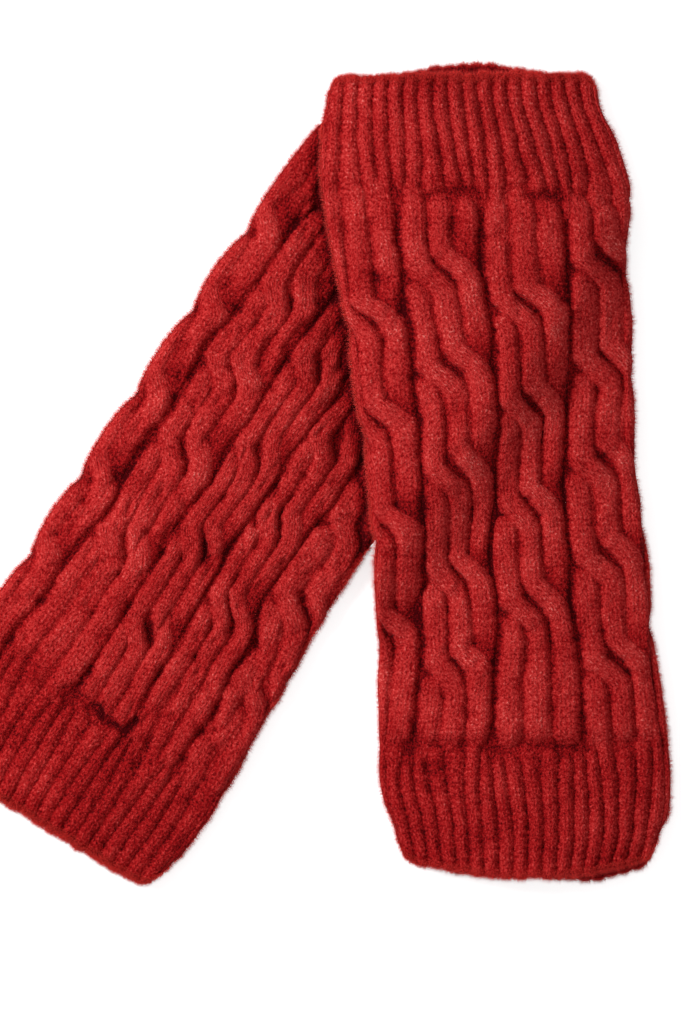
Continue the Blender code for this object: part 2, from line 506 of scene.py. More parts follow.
def smooth_column(rows, column, along):
    """Read one column of a table as a smooth curve through its rows."""
    knots = np.array([row.along for row in rows])
    values = np.array([getattr(row, column) for row in rows])
    before = np.maximum(np.arange(len(rows)) - 1, 0)
    after = np.minimum(np.arange(len(rows)) + 1, len(rows) - 1)
    slopes = (values[after] - values[before]) / (knots[after] - knots[before])
    along = np.clip(along, knots[0], knots[-1])
    index = np.clip(np.searchsorted(knots, along, side="right") - 1, 0, len(knots) - 2)
    span = knots[index + 1] - knots[index]
    t = (along - knots[index]) / span
    from_start = (1.0 + 2.0 * t) * (1.0 - t) ** 2 * values[index]
    from_end = t * t * (3.0 - 2.0 * t) * values[index + 1]
    leaving = t * (1.0 - t) ** 2 * span * slopes[index]
    arriving = t * t * (t - 1.0) * span * slopes[index + 1]
    return from_start + from_end + leaving + arriving


def lattice_value(i, j, seed):
    """A fixed number from -1 to 1 for each lattice point."""
    wave = np.sin(i * 127.1 + j * 311.7 + seed * 74.7) * 43758.5453
    return 2.0 * (wave - np.floor(wave)) - 1.0


def soft_noise(x, y, x_period, seed):
    """Smooth noise from -1 to 1 that repeats in x after a whole number of cells."""
    column = np.floor(x)
    row = np.floor(y)
    across = ease(x - column)
    down = ease(y - row)
    here = np.mod(column, x_period)
    beside = np.mod(column + 1.0, x_period)
    near, far = [
        lattice_value(here, line, seed) * (1.0 - across) + lattice_value(beside, line, seed) * across
        for line in (row, row + 1.0)
    ]
    return near * (1.0 - down) + far * down


def unevenness(garment, kind, place, along, bend=0.0, lag=0.0):
    """One kind of unevenness at a place, with its cells moved by `bend` across and `lag` along."""
    x = place * kind.cells + bend
    y = along / kind.length + lag
    return kind.amount * soft_noise(x, y, kind.places * kind.cells, garment.seed + kind.seed)


# ---- the form

def edges(garment, along):
    """The left and right edges of a leg warmer's outline."""
    left = smooth_column(garment.outline, "left", along)
    right = smooth_column(garment.outline, "right", along)
    return left, right


def from_rim(garment, along):
    """How far a place lies from the nearer rim."""
    return np.minimum(along, garment.length - along)


def from_seam(garment, along):
    """How far into the body a place lies from the nearer cuff."""
    return from_rim(garment, along) - CUFF_LENGTH


def wall(garment, along):
    """The knit's thickness: thin in the cuffs, thick in the body, with a short blend between."""
    return CUFF_WALL + (BODY_WALL - CUFF_WALL) * changed(from_seam(garment, along), THICKENING)


def half_height(garment, along):
    """Half the thickness of the whole flattened tube."""
    return wall(garment, along) + INNER_GAP / 2.0


def to_ground(garment, across, along):
    """A place in a leg warmer's own frame, as one on the ground."""
    lean = math.radians(garment.lean)
    forward = garment.length / 2.0 - along
    east = garment.centre_across + across * math.cos(lean) + forward * math.sin(lean)
    north = garment.centre_along - across * math.sin(lean) + forward * math.cos(lean)
    return east, north


def from_ground(garment, east, north):
    """A place on the ground, as one in a leg warmer's own frame."""
    lean = math.radians(garment.lean)
    east = east - garment.centre_across
    north = north - garment.centre_along
    across = east * math.cos(lean) - north * math.sin(lean)
    forward = east * math.sin(lean) + north * math.cos(lean)
    return across, garment.length / 2.0 - forward


def distance_outside(garment, east, north):
    """How far places on the ground lie outside a leg warmer, and where along it they are."""
    across, along = from_ground(garment, east, north)
    left, right = edges(garment, along)
    beside = np.maximum(np.maximum(left - across, across - right), 0.0)
    beyond = np.maximum(np.maximum(-along, along - garment.length), 0.0)
    return np.hypot(beside, beyond), np.clip(along, 0.0, garment.length)


def drape_height(garment, east, north):
    """How far the upper leg warmer is raised at a place by the lower one."""
    if garment is LOWER:
        return np.zeros_like(east)
    distance, along = distance_outside(LOWER, east, north)
    top = 2.0 * half_height(LOWER, along) + LAYER_CLEARANCE
    return top * (1.0 - changed(distance, DRAPING))


def press_share(garment, east, north):
    """How much the upper leg warmer presses on the lower one: 0 clear of it, and 1 beneath it."""
    if garment is UPPER:
        return np.zeros_like(east)
    distance, _ = distance_outside(UPPER, east, north)
    return 1.0 - changed(distance, PRESS_EASING)


def rim_pull(rim, across, left, right, is_back):
    """How far a mouth's rim is drawn in towards the middle of the tube."""
    from_side = np.minimum(across - left, right - across)
    depth = np.clip(rim.corner - from_side, 0.0, rim.corner)
    rounding = rim.corner - np.sqrt(rim.corner ** 2 - depth ** 2)
    share = 2.0 * (across - left) / (right - left) - 1.0
    bump = 1.0 - np.abs(across - rim.peek_across) / rim.peek_reach
    return rounding + rim.bow * (share ** 2 - BOW_BALANCE) - rim.peek * ease(bump) * is_back


def girth(garment, along):
    """The distance round the outside of the flattened tube."""
    left, right = edges(garment, along)
    radius = half_height(garment, along)
    return 2.0 * (right - left - 2.0 * radius) + 2.0 * math.pi * radius


def girth_place(garment, turn, along):
    """How far round the tube a turn lies, from the left fold over the front."""
    left, _ = edges(garment, along)
    radius = half_height(garment, along)
    quarter = math.pi * radius / 2.0
    marks = [quarter + smooth_column(garment.gutters, name, along) - left - radius for name in GUTTER_NAMES]
    whole = girth(garment, along)
    last = len(marks) - 1
    behind = (whole - (marks[-1] - marks[0])) / (COLUMNS - last)
    turn = np.mod(turn, COLUMNS)
    place = marks[-1] + (turn - last) * behind
    for i in range(last):
        within = (turn >= i) & (turn < i + 1)
        place = np.where(within, marks[i] + (turn - i) * (marks[i + 1] - marks[i]), place)
    return np.mod(place, whole)


def flat_tube(left, right, radius, place):
    """The middle that a flattened tube's wall turns about at a place, and the angle it faces."""
    flat = right - left - 2.0 * radius
    quarter = math.pi * radius / 2.0
    front_end = quarter + flat
    back_start = 3.0 * quarter + flat
    back_end = 3.0 * quarter + 2.0 * flat
    stretches = [place < quarter, place < front_end, place < back_start, place < back_end]
    first = left + radius
    last = right - radius
    upright = math.pi / 2.0
    centre = np.select(stretches, [first, first + place - quarter, last, last - (place - back_start)], first)
    angles = [math.pi - place / radius, upright, upright - (place - front_end) / radius, -upright]
    facing = np.select(stretches, angles, -upright - (place - back_end) / radius)
    return centre, facing


def rib_count(garment, place, along):
    """How many ribs round the tube a place lies."""
    return place / girth(garment, along) * RIBS_ROUND - RIB_START


def rib_jut(garment, place, along):
    """How far the rib at a place would jut past a rim."""
    count = rib_count(garment, place, along)
    rib = np.floor(count)
    roundness = 1.0 - (2.0 * (count - rib) - 1.0) ** 2
    luck = lattice_value(np.mod(rib, RIBS_ROUND), 0.0, garment.seed)
    return RIM_SCALLOP * (SCALLOP_EVENNESS * roundness + (1.0 - SCALLOP_EVENNESS) * luck)


def front_rise(garment, along, share, lift, pressed):
    """How far the front stands up: lifted at its rims, swollen in its cuffs and domed in its middle."""
    hump = np.sin(math.pi * np.clip(from_rim(garment, along) / CUFF_LENGTH, 0.0, 1.0)) ** 2
    swell = np.where(along < garment.length / 2.0, *garment.swell) * hump
    dome = garment.dome - (garment.dome + GAP_SHUT * INNER_GAP) * pressed
    slack = 1.0 - np.clip(share, -1.0, 1.0) ** 2
    return slack * lift + swell * np.sqrt(slack) + dome * slack


def form_points(garment, turn, along, depth=0.0):
    """Points `depth` below the tube's outer surface: east, north and up, in millimetres.

    With them come where they lie in the leg warmer's own frame, across and along, and the angle they face.
    """
    left, right = edges(garment, along)
    radius = half_height(garment, along)
    place = girth_place(garment, turn, along)
    centre, facing = flat_tube(left, right, radius, place)
    across = centre + (radius - depth) * np.cos(facing)
    outside = centre + radius * np.cos(facing)
    is_back = (np.sin(facing) < -FLAT_SINE).astype(float)
    is_front = (np.sin(facing) > FLAT_SINE).astype(float)
    jut = rib_jut(garment, place, along)
    pulled = along
    lift = 0.0
    rims = ((garment.top_rim, -1.0, along), (garment.bottom_rim, 1.0, garment.length - along))
    for rim, way, away in rims:
        fade = 1.0 - changed(away, RIM_FADING)
        pull = rim_pull(rim, outside, left, right, is_back) + way * rim.slope * across
        pull = pull - jut * bell(away, RIM_SCALLOP_REACH)
        pulled = pulled - way * pull * fade
        lift = lift + rim.lift * fade
    east, north = to_ground(garment, across, pulled)
    share = (centre - (left + right) / 2.0) / ((right - left) / 2.0 - radius)
    rise = front_rise(garment, along, share, lift, press_share(garment, east, north))
    up = radius + (radius - depth) * np.sin(facing) + rise * is_front + drape_height(garment, east, north)
    return east, north, up, across, pulled, facing


# ---- the knit's relief

def tube_depth(away, end, crest, bulge, power):
    """The depth of a round strand, `away` from its middle and `end` into its tip, both 1 at its edge."""
    return crest + bulge * np.hypot(away, end) ** power


def column_number(turn):
    """Which cable column a turn lies in."""
    return np.floor(turn).astype(int) % COLUMNS


def nearest_crossing(garment, turn, along):
    """How far below its column's nearest crossing a place lies, and that one's number and luck."""
    column = column_number(turn)
    offset = np.zeros(along.shape)
    number = np.zeros(along.shape, dtype=int)
    for index, crossings in enumerate(garment.crossings):
        away = along[..., None] - np.array(crossings)
        nearest = np.argmin(np.abs(away), axis=-1)
        here = column == index
        offset = np.where(here, np.take_along_axis(away, nearest[..., None], axis=-1)[..., 0], offset)
        number = np.where(here, nearest, number)
    luck = lattice_value(column, number, garment.seed + LUCK_SEED)
    return offset, number, luck


def travel_share(offset, length, haste):
    """How much of its way to the next place a strand has gone, and how steep it is there."""
    t = np.clip(offset / length + 0.5, 1.0e-4, 1.0)
    gone = t ** haste
    share = gone * gone * (3.0 - 2.0 * gone)
    steepness = 6.0 * gone * (1.0 - gone) * haste * t ** (haste - 1.0) / length
    return share, steepness


def strand_centres(offset, luck):
    """Where the four strands near a crossing are centred in their column, and their steepness."""
    lead = TRAVEL_LEAD * (1.0 + LEAD_LUCK * luck)
    leader_length = TRAVEL_LENGTH * (1.0 + LEADER_LUCK * luck)
    follower_length = TRAVEL_LENGTH * (1.0 - FOLLOWER_LUCK * luck)
    leader, leader_slope = travel_share(offset + lead, leader_length, LEADER_HASTE)
    follower, follower_slope = travel_share(offset - lead, follower_length, FOLLOWER_HASTE)
    diving = 2.0 + SPREAD * changed(offset, MAKING_ROOM)
    coming = -SPREAD * (1.0 - changed(offset, MOVING_IN))
    places = (follower, 1.0 + leader, diving, coming)
    slopes = (follower_slope, leader_slope, 0.0, 0.0)
    centres = [0.5 + (place - 1.0) * STRAND_PITCH for place in places]
    return centres, slopes


def strand_crests(offset):
    """How deep the crests of the four strands near a crossing lie."""
    lift = CROSSING_LIFT * changed(offset, LIFTING) * (1.0 - changed(offset, SETTLING))
    sink = SINK_DEPTH * changed(offset, SINKING) + PLUNGE_DEPTH * changed(offset, PLUNGING)
    rise = RISE_DEPTH * (1.0 - changed(offset, SURFACING))
    return CREST_DEPTH - FOLLOWER_LIFT * lift, CREST_DEPTH - lift, CREST_DEPTH + sink, CREST_DEPTH + rise


def strand_depths(garment, turn, along):
    """The depth of each strand at a place: two travel, one dives and one comes up."""
    column = column_number(turn)
    place = turn - np.floor(turn) + garment.wander * unevenness(garment, SWAY, turn, along)
    offset, _, luck = nearest_crossing(garment, turn, along)
    centres, slopes = strand_centres(offset, luck)
    into_body = from_seam(garment, along)
    tip = np.maximum((TIP_START + TIP_LENGTH - offset) / TIP_LENGTH, 0.0)
    depths = []
    for number, (centre, slope, crest) in enumerate(zip(centres, slopes, strand_crests(offset))):
        slot = np.floor((centre - 0.5) / STRAND_PITCH + 1.5)
        start = SEAM_SHIFT * lattice_value(column, slot, garment.seed + STRAND_SEED)
        start = start - np.choose(column, SEAM_OVERLAPS)
        end = np.maximum(1.0 - (into_body - start) / SEAM_TIP_LENGTH, 0.0)
        if number == 3:
            end = np.maximum(end, tip)
        strand = STRAND_SLOTS * column + slot
        side = strand + 0.5 * (place > centre)
        width = 1.0 + unevenness(garment, STRAND_WIDTHS, strand, along)
        width = width + unevenness(garment, STRAND_TEETH, side, along)
        stretch = np.hypot(1.0, slope * STRAND_PITCH * COLUMN_WIDTH)
        away = np.abs(place - centre) / (STRAND_REACH * stretch * width)
        level = crest + unevenness(garment, STRAND_LEVELS, strand, along)
        depths.append(tube_depth(away, end, level, STRAND_BULGE, STRAND_POWER))
    return depths


def web_depth(garment, turn, along):
    """The depth of the knit between a column's strands, lower at its gutters and crossings."""
    offset, _, _ = nearest_crossing(garment, turn, along)
    drop = (WEB_DEPTH_AT_CROSSING - WEB_DEPTH) * bell(offset, WEB_REACH)
    depth = CREST_DEPTH + WEB_DEPTH + drop
    depth = depth + unevenness(garment, WEB_LEVELS, turn, along)
    from_middle = np.abs(turn - np.floor(turn) - 0.5)
    return depth + (FLOOR_DEPTH - depth) * changed(from_middle, WEB_EDGE)


def rib_phase(garment, turn, along):
    """How many ribs round the tube a turn lies: at the seams they crowd to the gutters."""
    crowding = RIB_CROWDING * bell(from_seam(garment, along), RIB_CROWDING_REACH)
    count = rib_count(garment, girth_place(garment, turn, along), along)
    return count + crowding * np.sin(2.0 * math.pi * turn)


def rib_depth(garment, turn, along):
    """The depth of the cuffs' ribs at a place, each with a waist between its rows of stitches."""
    phase = rib_phase(garment, turn, along) + unevenness(garment, RIB_DRIFT, turn, along)
    rib = np.floor(phase)
    finish = SEAM_SHIFT * lattice_value(np.mod(rib, RIBS_ROUND), 0.0, garment.seed + RIB_SEED)
    finish = finish + np.choose(column_number(turn), SEAM_OVERLAPS)
    end = np.maximum((from_seam(garment, along) - finish) / RIB_TIP_LENGTH + 1.0, 0.0)
    crest = CREST_DEPTH + unevenness(garment, RIB_LEVELS, rib, along)
    rows = np.abs(np.mod(along / ROW_HEIGHT, 1.0) - 0.5) * 2.0
    teeth = unevenness(garment, RIB_TEETH, rib + 0.5 * (phase - rib > 0.5), along)
    away = np.abs(phase - rib - 0.5) / (RIB_REACH * (RIB_WAIST + RIB_ROWS * rows + teeth))
    return tube_depth(away, end, crest, RIB_BULGE, RIB_POWER)


def crease_depth(garment, across, along, facing):
    """How deep the cloth's own creases are."""
    depth = np.zeros_like(along)
    front = ease(np.sin(facing) * 2.0)
    for crease in garment.creases:
        run = np.array([crease.to_across - crease.across, crease.to_along - crease.along])
        length = np.hypot(*run)
        x = across - crease.across
        y = along - crease.along
        t = np.clip((x * run[0] + y * run[1]) / length ** 2, 0.0, 1.0)
        distance = np.hypot(x - t * run[0], y - t * run[1])
        depth = depth + crease.depth * bell(distance, crease.width)
    return depth * front


def fold_calm(garment, across, along):
    """How much the relief is flattened at the folds, where the knit is drawn tight."""
    left, right = edges(garment, along)
    left_calm, right_calm = garment.calm
    return left_calm * bell(across - left, FOLD_CALM) + right_calm * bell(right - across, FOLD_CALM)


def fold_depth(garment, turn, along):
    """How deep the calm knit at a fold lies: drawn in at each crossing."""
    offset, _, _ = nearest_crossing(garment, turn, along)
    from_notch = np.hypot(offset - FOLD_NOTCH_PLACE, FOLD_NOTCH_ROUND)
    return FOLD_LEVEL + FOLD_NOTCH * np.exp(-from_notch / FOLD_NOTCH_REACH)


def knit_depth(garment, turn, along):
    """How deep the knit lies below the form, and its uppermost strand, a rib being the last."""
    depths = np.stack(strand_depths(garment, turn, along) + [rib_depth(garment, turn, along)])
    strand = np.argmin(depths, axis=0)
    body = changed(from_seam(garment, along), SEAM_CROSSING)
    rib_floor = CREST_DEPTH + RIB_BULGE
    floor = rib_floor + (web_depth(garment, turn, along) - rib_floor) * body
    depth = np.minimum(depths.min(axis=0), floor)
    depth = CREST_DEPTH + garment.relief * (depth - CREST_DEPTH)
    return depth + seam_depth(garment, turn, along) + cloth_unevenness(garment, turn, along, body), strand


def seam_depth(garment, turn, along):
    """How deep the cloth dips along a seam, and is pinched in where a gutter meets one."""
    into_body = from_seam(garment, along)
    share = np.maximum(1.0 - SEAM_DIPS.amount + unevenness(garment, SEAM_DIPS, turn, along), 0.0)
    dip = SEAM_DIP * share * bell(into_body, SEAM_DIP_REACH)
    from_gutter = np.abs(turn - np.round(turn)) / SEAM_PINCH_WIDTH
    pinch = SEAM_PINCH * np.exp(-((into_body + 1.0) / SEAM_PINCH_REACH) ** 2 - from_gutter ** 2)
    return dip + pinch


def cloth_unevenness(garment, turn, along, body):
    """How much deeper or higher the cloth lies for its waves, lumps, puffs, dents and grain."""
    waves = unevenness(garment, WAVES, turn, along)
    lumps = unevenness(garment, LUMPS, turn, along)
    grain = unevenness(garment, GRAIN, turn, along, bend=lumps, lag=1.5 * lumps)
    puffs = unevenness(garment, PUFFS, turn, along, lag=lumps)
    dents = np.maximum(puffs - DENT_START, 0.0) * body
    wandering = LUMP_DEPTH * lumps + PUFF_DEPTH * (1.0 + body) * puffs + DENT_DEPTH * dents
    return waves + garment.wander * wandering + grain


def knit_painted_light_and_tone(garment, turn, along, strand):
    """Painted light and shade on the cloth: highlight on strands that rise to a crossing, shade on those that
    sink and at the rib ends, shade in creases, by the upper leg warmer and towards the bottom end, together
    with the garment's shade and the ribs' own tone.
    """
    offset, _, _ = nearest_crossing(garment, turn, along)
    lifted = changed(offset, LIGHTENING) * (1.0 - changed(offset, DULLING))
    sunk = changed(offset, DARKENING)
    tip_lit = 1.0 - changed(offset, TIP_DIMMING)
    # The ribs' own tone, with painted shade where the cuff dips at its seam.
    rib_tone_and_shade = RIB_TONE + RIB_END_SHADE * bell(from_seam(garment, along) + RIB_END_PLACE, RIB_END_REACH)
    # Painted highlight on strands rising to a crossing and on new tips, and painted shade on sinking strands.
    tones = [FOLLOWER_HIGHLIGHT * lifted, LEADER_HIGHLIGHT * lifted, SUNK_SHADE * sunk, TIP_HIGHLIGHT * tip_lit, rib_tone_and_shade]
    tone = np.choose(strand, tones) - garment.shade
    tone = tone - FOOT_SHADE * changed(along - garment.length, FOOT_DARKENING)
    east, north, _, across, pulled, facing = form_points(garment, turn, along)
    tone = tone - CREASE_SHADE * crease_depth(garment, across, pulled, facing)
    if garment is LOWER:
        distance, _ = distance_outside(UPPER, east, north)
        contact = (1.0 - changed(distance, CONTACT_FADING)) * ease(np.sin(facing) + 0.5)
        tone = tone - CONTACT_SHADE * contact
    return tone


# ---- meshes

def add_object(name, data):
    """A new object in the scene, at its origin."""
    thing = bpy.data.objects.new(name, data)
    bpy.context.scene.collection.objects.link(thing)
    return thing


def sample_turns():
    """The turns at which a ring has points, close together on the front and wider on the back."""
    turns = []
    for column in range(COLUMNS):
        count = FINE_SAMPLES if column < FINE_COLUMNS else COARSE_SAMPLES
        turns.append(column + np.arange(count) / count)
    return np.concatenate(turns)


def ring_plan(garment, piece):
    """The rings of a piece, as arrays: along, how deep below the outer surface, and how much relief.

    They run down the outside, round the rim and back up the inside, so the last ring meets the first.  Where
    there is no relief the outside lies RIM_DEPTH deep, which is about the depth of the knit's middle.
    """
    if piece == "body":
        top_seam = CUFF_LENGTH
        bottom_seam = garment.length - CUFF_LENGTH
        outer = np.linspace(top_seam + SEAM_RING, bottom_seam - SEAM_RING, BODY_OUTER_RINGS)
        outer = np.concatenate([[top_seam], outer, [bottom_seam]])
        inner = np.linspace(bottom_seam, top_seam, INNER_RINGS)
        parts = [(outer, 0.0, 1.0), (inner, wall(garment, inner), 0.0)]
    else:
        radius = (CUFF_WALL - RIM_DEPTH) / 2.0
        angle = np.linspace(0.0, math.pi, RIM_STEPS + 2)[1:-1]
        rim = radius * (1.0 - np.sin(angle))
        outer = np.linspace(CUFF_LENGTH - SEAM_RING, radius, CUFF_OUTER_RINGS)
        outer = np.concatenate([[CUFF_LENGTH], outer])
        inner = np.linspace(radius, CUFF_LENGTH, INNER_RINGS)
        parts = [
            (outer, 0.0, rim_relief(outer)),
            (rim, RIM_DEPTH + radius * (1.0 - np.cos(angle)), 0.0),
            (inner, CUFF_WALL, 0.0),
        ]
    columns = zip(*[np.broadcast_arrays(*part) for part in parts])
    along, depth, relief = [np.concatenate(column) for column in columns]
    if piece == "bottom_cuff":
        along = garment.length - along
    return along, depth, relief


def rim_relief(away):
    """How much relief the knit has this far from a rim."""
    return RIM_RELIEF + (1.0 - RIM_RELIEF) * changed(away, RIM_ROUGHENING)


def surface_depth(garment, turn, along, relief):
    """The depth of the finished knit: with its relief, creases and calm folds."""
    knit, strand = knit_depth(garment, turn, along)
    east, north, _, across, pulled, facing = form_points(garment, turn, along)
    knit = knit + fold_calm(garment, across, along) * (fold_depth(garment, turn, along) - knit)
    knit = knit + PRESS_DEPTH * press_share(garment, east, north) * (np.sin(facing) > FLAT_SINE)
    knit = knit + crease_depth(garment, across, pulled, facing)
    knit = np.clip(knit, 0.0, wall(garment, along) - LEAST_WALL)
    return RIM_DEPTH + (knit - RIM_DEPTH) * relief, strand


def shell_mesh(garment, piece):
    """A piece as a closed shell, with stitches as its UV map, and at its points its depth and tone, which
    carry painted light and shade.
    """
    rings, ring_depths, reliefs = ring_plan(garment, piece)
    along, turn = np.meshgrid(rings, sample_turns(), indexing="ij")
    knit, strand = surface_depth(garment, turn, along, reliefs[:, None])
    outside = ring_depths[:, None] == 0.0
    depth = np.where(outside, knit, ring_depths[:, None])
    east, north, up, _, _, _ = form_points(garment, turn, along, depth)
    points = np.stack([east, north, np.maximum(up, 0.0)], axis=-1).reshape(-1, 3) * MM
    here = np.arange(turn.size).reshape(turn.shape)
    below = np.roll(here, -1, axis=0)
    corners = [here, below, np.roll(below, -1, axis=1), np.roll(here, -1, axis=1)]
    quads = np.stack(corners, axis=-1).reshape(-1, 4)
    uvs = stitch_places(garment, turn, along, strand)
    if piece == "top_cuff":
        quads = quads[:, ::-1]
        uvs = uvs[:, :, ::-1, :]
    mesh = mesh_from_arrays(garment.name + "_" + piece, points, quads)
    layer = mesh.uv_layers.new(name="stitches")
    layer.data.foreach_set("uv", uvs.ravel().astype(np.float32))
    # The depth at the points only drives the painted shade of the knit's hollows; on the inside it is
    # INNER_SHADE.
    add_point_value(mesh, "depth", np.where(outside, knit / FLOOR_DEPTH, INNER_SHADE))
    # Painted shade inside the mouths, darker deeper in from the rims.
    inside_shade = -MOUTH_SHADE * changed(from_rim(garment, along), MOUTH_DARKENING)
    add_point_value(mesh, "tone", np.where(outside, knit_painted_light_and_tone(garment, turn, along, strand), inside_shade))
    mesh.shade_smooth()
    return mesh


def add_point_value(mesh, name, values):
    """Give every point of a mesh a value that its material can read."""
    attribute = mesh.attributes.new(name, "FLOAT", "POINT")
    attribute.data.foreach_set("value", values.ravel().astype(np.float32))


def stitch_places(garment, turn, along, strand):
    """The UV of every quad's corners: stitches across and rows along, following its strand.

    Each strand keeps its own order among the strands past every crossing, which sets it apart in U.
    """
    column = np.floor(turn)
    offset, number, luck = nearest_crossing(garment, turn, along)
    uppermost = np.minimum(strand, STRAND_SLOTS - 1)
    order = np.choose(uppermost, (0, 1, 2, -1)) - number + ORDERS_APART * column
    next_turn = np.roll(turn, -1, axis=1)
    next_turn[:, -1] = COLUMNS
    next_along = np.roll(along, -1, axis=0)
    uvs = np.zeros(turn.shape + (4, 2))
    corners = ((along, turn), (next_along, turn), (next_along, next_turn), (along, next_turn))
    for corner, (corner_along, corner_turn) in enumerate(corners):
        centres, _ = strand_centres(offset + corner_along - along, luck)
        centre = np.choose(uppermost, centres)
        cable_u = STITCHES_PER_STRAND * ((corner_turn - column - centre) / STRAND_PITCH + 2.0 * order) + 0.5
        rib_u = 2.0 * rib_phase(garment, corner_turn, corner_along) - 0.5
        uvs[:, :, corner, 0] = np.where(strand == STRAND_SLOTS, rib_u, cable_u)
        uvs[:, :, corner, 1] = corner_along / ROW_HEIGHT
    return uvs


def mesh_from_arrays(name, points, faces):
    """A mesh from arrays of points and of faces that all have as many corners."""
    mesh = bpy.data.meshes.new(name)
    count, corners = faces.shape
    mesh.vertices.add(len(points))
    mesh.vertices.foreach_set("co", points.ravel().astype(np.float32))
    mesh.loops.add(count * corners)
    mesh.loops.foreach_set("vertex_index", faces.ravel().astype(np.int32))
    mesh.polygons.add(count)
    mesh.polygons.foreach_set("loop_start", np.arange(0, count * corners, corners, dtype=np.int32))
    mesh.update(calc_edges=True)
    return mesh


def unit(vectors):
    """Vectors brought to a length of 1."""
    return vectors / np.linalg.norm(vectors, axis=1)[:, None]


def fibre_roots(garment, chance):
    """Where fibres start on the knit, and their ways out: a lot for its edges and one for its front."""
    turn = chance.uniform(0.0, COLUMNS, FIBRE_TRIES)
    along = chance.uniform(0.0, garment.length, FIBRE_TRIES)
    at_top = along < garment.length / 2.0
    rim = np.where(at_top, 0.0, garment.length)
    inward = np.where(at_top, 1.0, -1.0)
    crowd = chance.uniform(0.0, 1.0, FIBRE_TRIES) / RIM_CROWD
    on_lip = (crowd >= 1.0) & (crowd < 2.0)
    along = np.where(crowd < 1.0, rim + inward * chance.uniform(*RIM_ZONE, FIBRE_TRIES), along)
    along = np.where(on_lip, rim + FIBRE_ROOT * inward, along)
    away = from_rim(garment, along)
    lip = (CUFF_WALL + RIM_DEPTH) / 2.0
    east, north, up, _, _, facing = form_points(garment, turn, along, np.where(on_lip, lip, RIM_DEPTH))
    low, high = EDGE_SINES
    usable = ((np.sin(facing) > low) | on_lip) & (up > LOWEST_ROOT)
    if garment is LOWER:
        usable &= distance_outside(UPPER, east, north)[0] > 0.0
    at_edge = (np.sin(facing) < high) | (away < RIM_ZONE[1])
    lean = math.radians(garment.lean)
    aside = np.array([math.cos(lean), -math.sin(lean), 0.0])
    down = np.array([-math.sin(lean), -math.cos(lean), 0.0])
    upward = np.array([0.0, 0.0, 1.0])
    roots = []
    for fuzz, chosen in zip(FUZZES, (at_edge, ~at_edge)):
        lot = np.flatnonzero(usable & chosen)[:fuzz.fibres]
        knit, _ = surface_depth(garment, turn[lot], along[lot], rim_relief(away[lot]))
        depth = np.where(on_lip[lot], lip, knit + FIBRE_ROOT)
        east, north, up, _, _, facing = form_points(garment, turn[lot], along[lot], depth)
        past_rim = -RIM_SPLAY * inward[lot] * (1.0 - ease(away[lot] / RIM_ZONE[1]))
        outward = np.outer(np.cos(facing), aside) + np.outer(np.sin(facing), upward)
        outward = outward + np.outer(past_rim, down)
        roots.append((np.stack([east, north, up], axis=-1), unit(outward)))
    return roots


def fibre_mesh(name, fuzz, roots, outward, chance):
    """Fibres, each a closed three-sided sliver that runs from its root in the cloth out to a point."""
    count = len(roots)
    anywhere = unit(chance.normal(size=(count, 3)))
    flat = unit(anywhere - outward * np.sum(anywhere * outward, axis=1)[:, None])
    lift = chance.uniform(*fuzz.lifts, count)[:, None]
    way = np.sin(lift) * outward + np.cos(lift) * flat
    tips = roots + chance.uniform(*fuzz.lengths, count)[:, None] * way
    tips[:, 2] = np.maximum(tips[:, 2], LOWEST_TIP)
    side = unit(np.cross(way, np.roll(way, 1, axis=1) + FIBRE_SKEW))
    other = np.cross(way, side)
    corners = []
    for third in range(3):
        angle = 2.0 * math.pi * third / 3.0
        corners.append(roots + FIBRE_RADIUS * (math.cos(angle) * side + math.sin(angle) * other))
    points = np.stack(corners + [tips], axis=1).reshape(-1, 3) * MM
    sliver = np.array([(0, 2, 1), (0, 1, 3), (1, 2, 3), (2, 0, 3)])
    faces = sliver[None, :, :] + 4 * np.arange(count)[:, None, None]
    return mesh_from_arrays(name, points, faces.reshape(-1, 3))


def add_fuzz(garment, materials):
    """Loose fibres on the knit: crowded at its folds and rims, and scattered on its front."""
    chance = np.random.default_rng(garment.seed)
    for fuzz, material, lot in zip(FUZZES, materials, fibre_roots(garment, chance)):
        name = garment.name + "_" + fuzz.name + "_fuzz"
        fibres = add_object(name, fibre_mesh(name, fuzz, *lot, chance))
        fibres.data.materials.append(material)
        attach(fibres, "root")


# ---- materials

